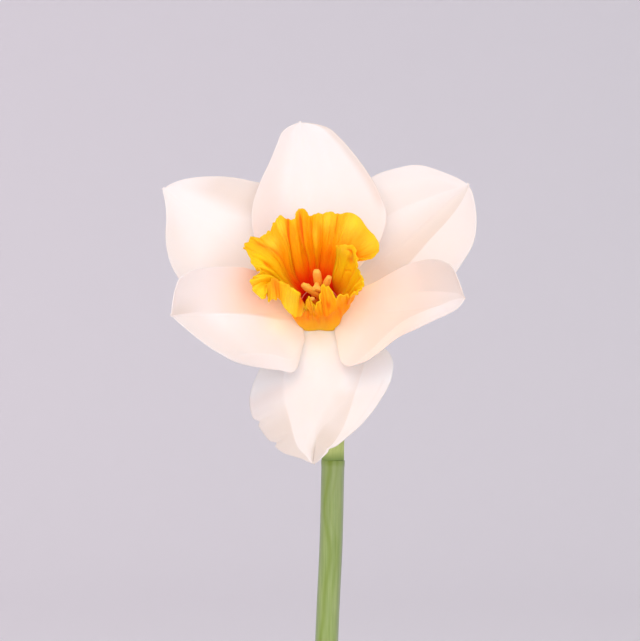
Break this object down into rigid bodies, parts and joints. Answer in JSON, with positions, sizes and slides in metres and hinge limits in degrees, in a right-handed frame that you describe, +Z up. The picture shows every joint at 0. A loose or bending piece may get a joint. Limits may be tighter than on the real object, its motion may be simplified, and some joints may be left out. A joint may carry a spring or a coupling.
{
  "type": "potted daffodil",
  "caption": "Daffodil with a pale bloom and a frilled orange cup on a tall stem, strap leaves and its bulb, growing in a plain clay pot.",
  "frame": {"origin": "middle of the pot's foot, on the surface that the pot stands on", "axes": "+Z up along the stem, -Y the way the bloom faces, +X to the bloom's right as seen from its front"},
  "size_m": [0.2043, 0.2026, 0.4617],
  "materials": {
    "clay": "matte",
    "soil": "matte",
    "bulb_skin": "satin",
    "stem_green": "satin",
    "leaf_green": "satin",
    "papery_sheath": "matte",
    "pale_tube": "satin",
    "tepal": "matte",
    "corona_orange": "satin",
    "anther": "matte"
  },
  "bodies": {
    "root": {"pot": "clay", "soil": "soil", "bulb": "bulb_skin", "stem": "stem_green", "leaf_1": "leaf_green", "leaf_2": "leaf_green", "leaf_3": "leaf_green", "leaf_4": "leaf_green", "leaf_5": "leaf_green", "spathe": "papery_sheath", "flower_stalk": "stem_green", "perianth_tube": "pale_tube", "tepal_top": "tepal", "tepal_low_right": "tepal", "tepal_low_left": "tepal", "tepal_up_right": "tepal", "tepal_bottom": "tepal", "tepal_up_left": "tepal", "corona": "corona_orange", "stamen_1": "anther", "stamen_2": "anther", "stamen_3": "anther", "stamen_4": "anther", "stamen_5": "anther", "stamen_6": "anther", "style": "anther"}
  },
  "joints": []
}
